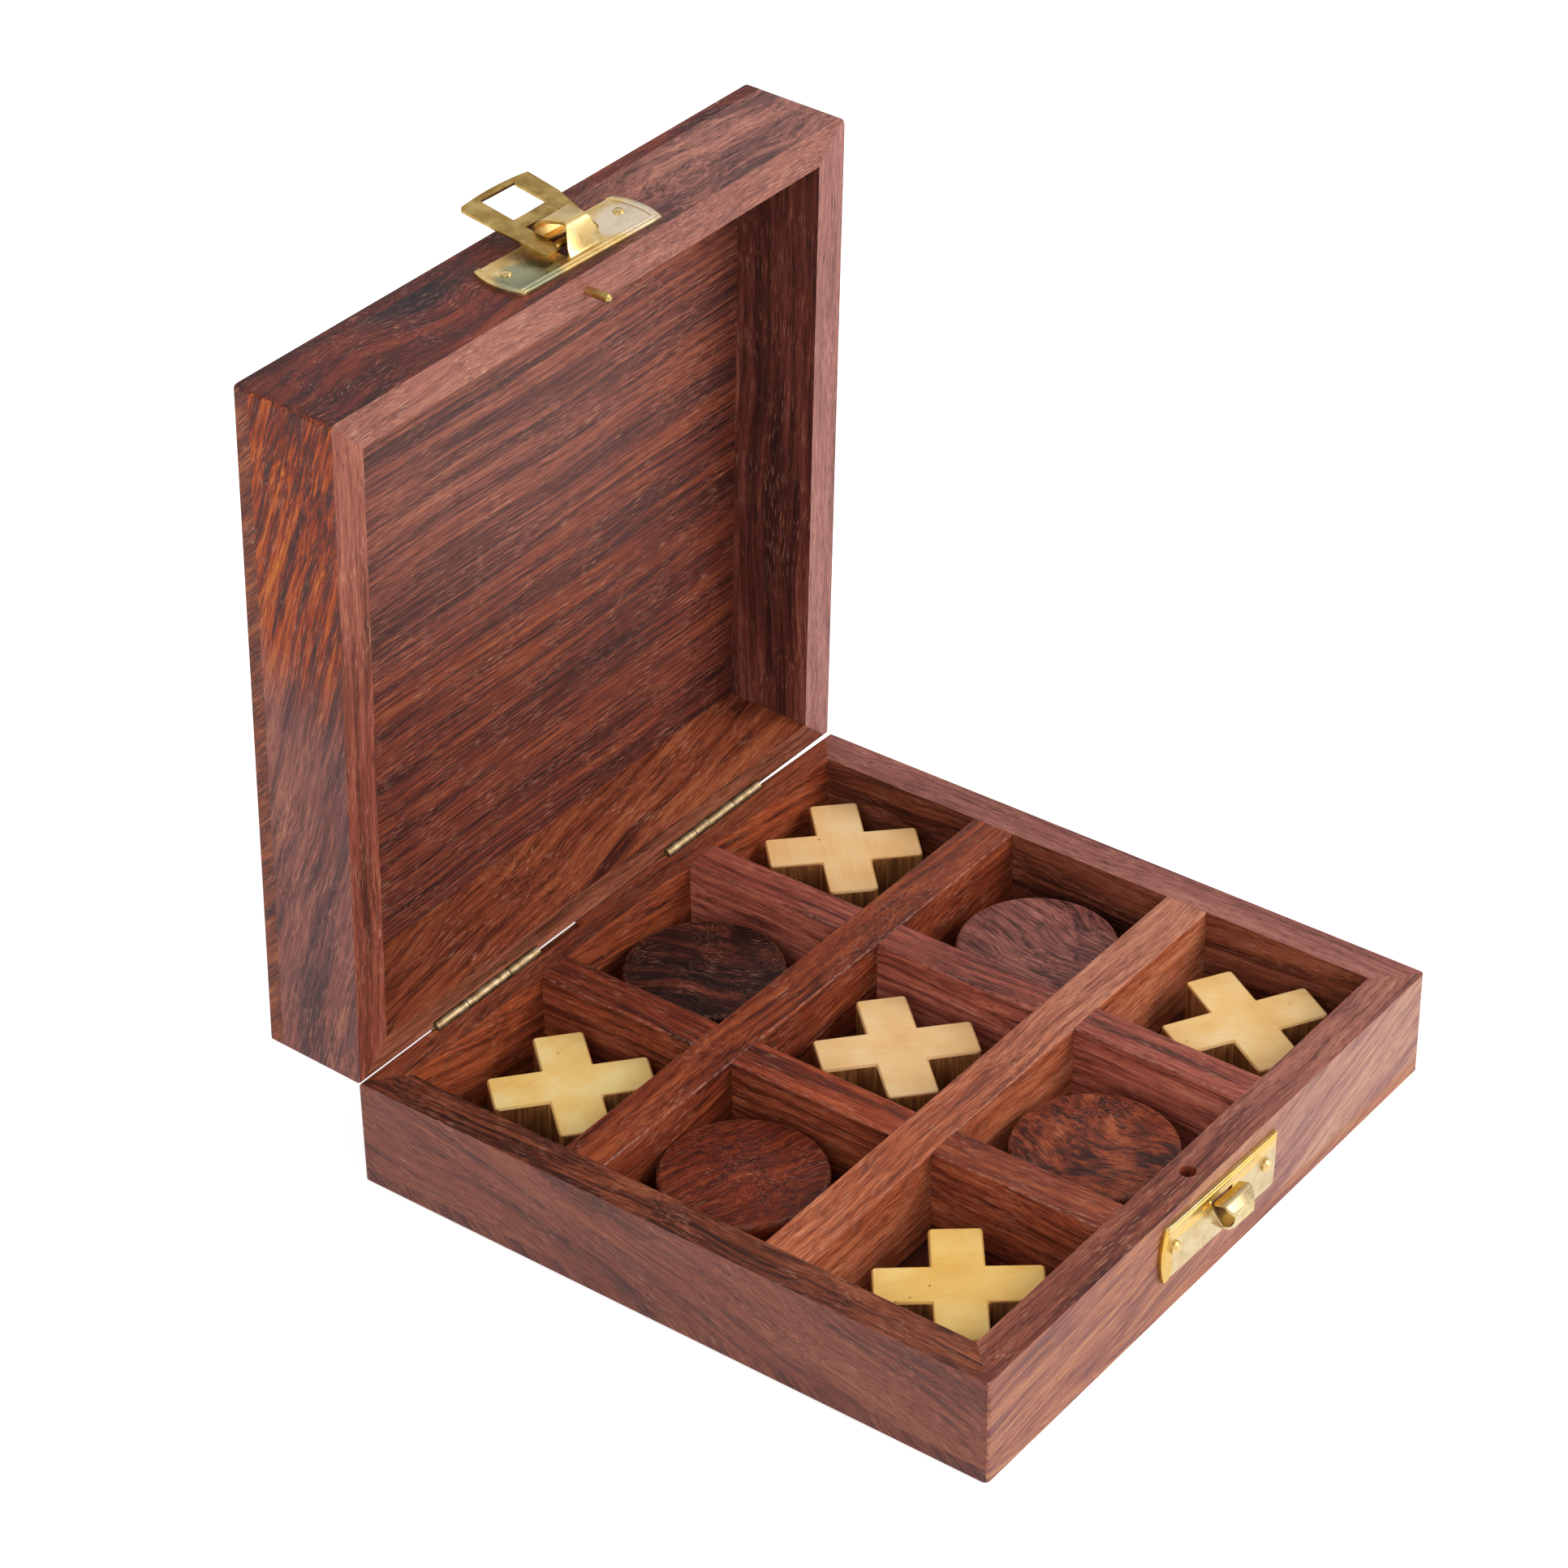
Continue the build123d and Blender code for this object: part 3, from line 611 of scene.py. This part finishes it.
# Haldu, the pale yellow wood of the crosses: close grained, so its faces are smooth with faint clouds, and its
# sawn sides are browner, with upright saw lines, and are darkened much further as painted shade of the cells. Its
# pores are too fine to show, and are drawn coarser.
halduLook = {
    "turn": 0, "deep": "#E2A954", "pale": "#EBB964", "light": "#F2C97C", "places": (0.5, 0.65, 0.8),
    "cloud": 8, "cloudShare": 0.65, "grain": 0.8, "grainLength": 12, "grainShare": 0.16, "base": 0.25,
    "sideDark": "#583016", "side": "#80502A", "sideLight": "#A0703C", "sidePlaces": (0.32, 0.5, 0.68),
    "saw": 0.7, "sawLength": 16, "fine": 0.35, "depth": 0.05,
    "speck": "#7A3E22", "speckShare": 0.75, "speckGap": 5,
    "edge": "#C07E3C", "edgeShare": 0.45, "ease": 0.35,
}


def makeHaldu(name, look):
    material, tree = newMaterial(name)
    place = addNode(tree, "TexCoord").outputs["Object"]
    board = addNode(tree, "Mapping", {
        "Vector": place, "Rotation": (0, 0, math.radians(look["turn"])),
    }).outputs[0]
    clouds = addNode(tree, "TexNoise", {"Vector": board, "Scale": 1 / (look["cloud"] * mm), "Detail": 3})
    grain = drawnNoise(tree, board, look["grain"], (look["grainLength"], 1, 1), 3)
    soft = addNode(tree, "Math", {
        0: grain, 1: look["grainShare"], 2: look["base"],
    }, operation="MULTIPLY_ADD")
    tone = addNode(tree, "Math", {
        0: clouds.outputs["Fac"], 1: look["cloudShare"], 2: soft.outputs[0],
    }, operation="MULTIPLY_ADD")
    topTones = (look["deep"], look["pale"], look["light"])
    top = addNode(tree, "ValToRGB", {"Fac": tone.outputs[0]}, stops=list(zip(look["places"], topTones)))
    sawn = drawnNoise(tree, place, look["saw"], (1, 1, look["sawLength"]), 4, 0.6)
    # The sawn sides take browner, much darker tones: partly sawn wood, partly painted shade of the cells
    sideTones = (look["sideDark"], look["side"], look["sideLight"])
    side = addNode(tree, "ValToRGB", {"Fac": sawn}, stops=list(zip(look["sidePlaces"], sideTones)))
    facing = addNode(tree, "Attribute", attribute_name="sawnSide")
    wood = addNode(tree, "Mix", {
        "Factor": facing.outputs["Fac"], under: top.outputs[0], over: side.outputs[0],
    }, data_type="RGBA").outputs[mixed]

    # Small brown specks, and edges burnt by the saw
    specks = addNode(tree, "TexVoronoi", {"Vector": place, "Scale": 1 / (look["speckGap"] * mm)})
    speck = addNode(tree, "MapRange", {
        "Value": specks.outputs["Distance"], "From Min": 0.06, "From Max": 0.03, "To Max": look["speckShare"],
    })
    specked = addNode(tree, "Mix", {
        "Factor": speck.outputs[0], under: wood, over: paint(look["speck"]),
    }, data_type="RGBA").outputs[mixed]
    edge = addNode(tree, "Attribute", attribute_name="easedEdge")
    burnt = addNode(tree, "Math", {0: edge.outputs["Fac"], 1: look["edgeShare"]}, operation="MULTIPLY")
    edged = addNode(tree, "Mix", {
        "Factor": burnt.outputs[0], under: specked, over: paint(look["edge"]),
    }, data_type="RGBA").outputs[mixed]

    fine = addNode(tree, "TexNoise", {"Vector": place, "Scale": 1 / (look["fine"] * mm), "Detail": 1})
    height = addNode(tree, "Math", {0: fine.outputs["Fac"], 1: sawn}, operation="ADD")
    bump = addNode(tree, "Bump", {
        "Height": height.outputs[0], "Strength": 0.35, "Distance": look["depth"] * mm,
    })
    body = addNode(tree, "BsdfPrincipled", {
        "Base Color": edged, "Roughness": 0.5, "Normal": bump.outputs[0],
        "IOR": 1.5, "Specular IOR Level": 0.35,
    })
    addOutput(tree, body.outputs[0])
    return material


crosses = {
    "cross_front_left": {"turn": 37, "deep": "#E7B258", "pale": "#F0C369", "light": "#F7D382"},
    "cross_front_right": {"turn": 60, "deep": "#E9B76E", "pale": "#F2C882", "light": "#F9D9A0"},
    "cross_middle": {
        "turn": 48, "deep": "#ECBA7A", "pale": "#F5CB8D", "light": "#FBDBA4", "edge": "#B9754A",
    },
    "cross_back_left": {"turn": 10, "deep": "#F0C269", "pale": "#FBD683", "light": "#FFE8A2"},
    "cross_back_right": {"turn": -44, "deep": "#F3BF7C", "pale": "#FCD090", "light": "#FFE0A7"},
}
sideways = 0.4  # a face that tips up less than this is a sawn side
for node, cross in crosses.items():
    look = {**halduLook, **cross}
    piece = easedCopy(node, look["ease"], look["ease"], segments=2)
    mark = piece.data.attributes.new("sawnSide", "FLOAT", "FACE")
    for face in piece.data.polygons:
        mark.data[face.index].value = 1 if abs(face.normal.z) < sideways else 0
    piece.data.materials.append(makeHaldu("Haldu_" + node, look))
    dress(piece, node, node)
print("crosses made")

# Pressed brass sheet: bright but not polished, so it reflects softly, with finger marks, a skin of tarnish in
# places and paler edges, partly rubbed and partly a painted highlight. The hinges are of antiqued brass, which is
# browner and duller.
brassLook = {
    "finish": "Brass", "slot": "brass", "tones": ["#DDB873", "#E8C886", "#F0D8A4"], "cloud": 3,
    "dirt": "#9A7238", "dirtShare": 0.2, "dirtSize": 0.9, "edge": "#F6DC98", "edgeShare": 0.5,
    "roughness": 0.3, "dent": 0.06, "ease": 0.09, "zones": [],
}
antiqueLook = {
    "finish": "AntiqueBrass", "slot": "antique_brass", "tones": ["#8E7452", "#B29A76", "#CDBA98"],
    "cloud": 1.6, "dirt": "#5E4630", "dirtShare": 0.5, "edge": "#E0D3B0", "roughness": 0.48, "dent": 0.02,
    "ease": 0.05,
}
brassPlaces = (0.32, 0.5, 0.68)
brassFray, brassSoft = 0.6, 0.15


def makeBrass(name, look):
    material, tree = newMaterial(name)
    place = addNode(tree, "TexCoord").outputs["Object"]
    clouds = addNode(tree, "TexNoise", {
        "Vector": place, "Scale": 1 / (look["cloud"] * mm), "Detail": 3,
    }).outputs["Fac"]
    dirt = addNode(tree, "TexNoise", {
        "Vector": place, "Scale": 1 / (look["dirtSize"] * mm), "Detail": 4, "Roughness": 0.65,
    }).outputs["Fac"]
    skin = addNode(tree, "ValToRGB", {"Fac": clouds}, stops=list(zip(brassPlaces, look["tones"]))).outputs[0]
    for zone in look["zones"]:
        inside = insideZone(tree, place, clouds, zone, brassFray, brassSoft)
        skin = addNode(tree, "Mix", {
            "Factor": inside, under: skin, over: paint(zone["tone"]),
        }, data_type="RGBA").outputs[mixed]
    spots = addNode(tree, "MapRange", {
        "Value": dirt, "From Min": 0.56, "From Max": 0.72, "To Max": look["dirtShare"],
    })
    dirty = addNode(tree, "Mix", {
        "Factor": spots.outputs[0], under: skin, over: paint(look["dirt"]),
    }, data_type="RGBA").outputs[mixed]
    # Paler edges: partly rubbed brass, partly a painted highlight
    edge = addNode(tree, "Attribute", attribute_name="easedEdge")
    edgeWearAndHighlight = addNode(tree, "Math", {0: edge.outputs["Fac"], 1: look["edgeShare"]}, operation="MULTIPLY")
    edged = addNode(tree, "Mix", {
        "Factor": edgeWearAndHighlight.outputs[0], under: dirty, over: paint(look["edge"]),
    }, data_type="RGBA").outputs[mixed]
    dull = addNode(tree, "MapRange", {
        "Value": dirt, "From Min": 0.3, "From Max": 0.7,
        "To Min": look["roughness"] - 0.05, "To Max": look["roughness"] + 0.1,
    })
    bump = addNode(tree, "Bump", {"Height": clouds, "Strength": 0.3, "Distance": look["dent"] * mm})
    body = addNode(tree, "BsdfPrincipled", {
        "Base Color": edged, "Roughness": dull.outputs[0], "Normal": bump.outputs[0], "Metallic": 1,
    })
    addOutput(tree, body.outputs[0])
    return material


brassParts = {
    "catch_plate": {
        "body": "base", "tones": ["#BEA679", "#C8B589", "#D1C39E"],
        "zones": [
            {"at": (0.75, -62.9, 16), "size": (26, 1.6, 1.9), "share": 0.7, "tone": "#E6C05C"},
            {"at": (-16.5, -62.9, 10), "size": (2.6, 2, 9), "share": 0.8, "tone": "#D3A93C"},
            {"at": (1.5, -67, 8.5), "size": (5, 3.6, 5), "share": 0.8, "tone": "#D9BD62"},
        ],
    },
    "catch_nails": {
        "body": "base", "cloud": 1.2, "tones": ["#D0B06C", "#DDC288", "#EAD6A6"], "ease": 0.05,
        "roughness": 0.42,
    },
    "hasp_plate": {
        "body": "lid",
        # The teal patch on the left is a painted reflection, and the pale pink patch on the right is a painted
        # highlight
        "zones": [
            {"at": (-11.5, 62, 144), "size": (6, 4.4, 4), "share": 0.8, "tone": "#8E9C84"},
            {"at": (12.5, 62, 144), "size": (6, 4.6, 4), "share": 0.85, "tone": "#EBDAC4"},
        ],
    },
    "hasp_nails": {"body": "lid", "cloud": 1.2, "ease": 0.05},
    "hasp_loop": {
        # Its darker olive tones are a painted reflection of a dark ceiling, and its bright edges and pale band are
        # painted highlights
        "body": "hasp_loop", "tones": ["#96763C", "#AC8C4C", "#C6A868"], "edge": "#FFE6A8", "edgeShare": 0.9,
        "zones": [{"at": (0.75, 74, 160), "size": (24, 6, 3.4), "share": 0.8, "tone": "#E6D2B6"}],
    },
    "locating_pin": {"body": "lid", "tones": ["#A88C54", "#C4A864", "#DCC48A"], "roughness": 0.34},
}
for body, members in frame["record"]["behaviour"]["bodies"].items():
    for node in members:
        if node.startswith("hinge"):
            brassParts[node] = {**antiqueLook, "body": body}
for node, part in brassParts.items():
    look = {**brassLook, **part}
    piece = easedCopy(node, look["ease"], look["ease"], sharp=38, segments=2)
    piece.data.materials.append(makeBrass(look["finish"] + "_" + node, look))
    smoothTurns(piece)
    dress(piece, node, look["body"])
print("brass dressed")

# Studio: white paper under the box, a large soft lamp in front and a weaker one on the left. The paper glows
# a little for the camera and in the brass, and is otherwise plain paper that takes the shadow.
floorSize = 40
paperGlow = 0.6
floorWork = bmesh.new()
bmesh.ops.create_grid(floorWork, x_segments=1, y_segments=1, size=floorSize / 2)
floorMesh = bpy.data.meshes.new("floor")
floorWork.to_mesh(floorMesh)
floorWork.free()
floor = bpy.data.objects.new("floor", floorMesh)
bpy.context.scene.collection.objects.link(floor)
paper, paperTree = newMaterial("WhitePaper")
rays = addNode(paperTree, "LightPath")
seen = addNode(paperTree, "Math", {
    0: rays.outputs["Is Camera Ray"], 1: rays.outputs["Is Glossy Ray"],
}, operation="ADD")
through = addNode(paperTree, "Math", {
    0: seen.outputs[0], 1: rays.outputs["Is Transmission Ray"],
}, operation="ADD", use_clamp=True)
glow = addNode(paperTree, "Math", {0: through.outputs[0], 1: paperGlow}, operation="MULTIPLY")
sheet = addNode(paperTree, "BsdfDiffuse", {"Color": paint("#E6E6E6")})
white = addNode(paperTree, "Emission", {"Color": (1, 1, 1, 1), "Strength": glow.outputs[0]})
both = addNode(paperTree, "AddShader", {0: sheet.outputs[0], 1: white.outputs[0]})
addOutput(paperTree, both.outputs[0])
floorMesh.materials.append(paper)

# Places and sizes in metres, powers in watts
lamps = {
    "keyLamp": {"place": (0.75, -1.5, 0.95), "size": 1.1, "power": 20.5, "colour": "#FFF8F2"},
    "fillLamp": {"place": (-1.4, -0.5, 0.8), "size": 1.1, "power": 9, "colour": "#F8FAFF"},
}
aim = Vector((0, 0, 0.06))
for name, lamp in lamps.items():
    light = bpy.data.lights.new(name, "AREA")
    light.size = lamp["size"]
    light.energy = lamp["power"]
    light.color = paint(lamp["colour"])[:3]
    stand = bpy.data.objects.new(name, light)
    stand.location = lamp["place"]
    stand.rotation_mode = "QUATERNION"
    stand.rotation_quaternion = (aim - stand.location).to_track_quat("-Z", "Y")
    bpy.context.scene.collection.objects.link(stand)

# The room, which the brass reflects: pale walls, darker higher up, a white band of light and a grey ceiling
room = {"strength": 0.95, "tones": [
    (0, "#E4E4E4"), (0.25, "#9C9C9C"), (0.48, "#FFFFFF"), (0.64, "#FFFFFF"), (0.85, "#C0C0C0"),
]}
world = bpy.data.worlds.new("studio")
world.use_nodes = True
sky = world.node_tree
sky.nodes.clear()
direction = addNode(sky, "TexCoord")
height = addNode(sky, "SeparateXYZ", {0: direction.outputs["Generated"]})
walls = addNode(sky, "ValToRGB", {"Fac": height.outputs["Z"]}, stops=room["tones"])
shine = addNode(sky, "Background", {"Color": walls.outputs[0], "Strength": room["strength"]})
addNode(sky, "OutputWorld", {"Surface": shine.outputs[0]})
bpy.context.scene.world = world
print("studio lit")

# Camera, as the photographer stood: degrees, and metres from the middle of the base's underside
cameraPlace = {
    "azimuth": -52.531, "elevation": 34.101, "roll": -0.909, "distance": 0.77308, "right": -0.018107,
    "up": 0.056916, "lens": 106.563, "sensor": 36.0,
}
azimuth = math.radians(cameraPlace["azimuth"])
elevation = math.radians(cameraPlace["elevation"])
back = Vector((
    math.sin(azimuth) * math.cos(elevation), -math.cos(azimuth) * math.cos(elevation), math.sin(elevation)))
right = (-back).cross(upward).normalized()
up = back.cross(right)
place = back * cameraPlace["distance"] + right * cameraPlace["right"] + up * cameraPlace["up"]
tilt = Matrix.Rotation(math.radians(cameraPlace["roll"]), 3, back)
axes = Matrix((tilt @ right, tilt @ up, back)).transposed()
camera = bpy.data.objects.new("camera", bpy.data.cameras.new("camera"))
camera.data.lens = cameraPlace["lens"]
camera.data.sensor_width = cameraPlace["sensor"]
camera.data.clip_start = 0.05
camera.matrix_world = Matrix.Translation(place) @ axes.to_4x4()
bpy.context.scene.collection.objects.link(camera)
bpy.context.scene.camera = camera
bpy.context.scene.view_settings.view_transform = "Standard"

print("scene ready")
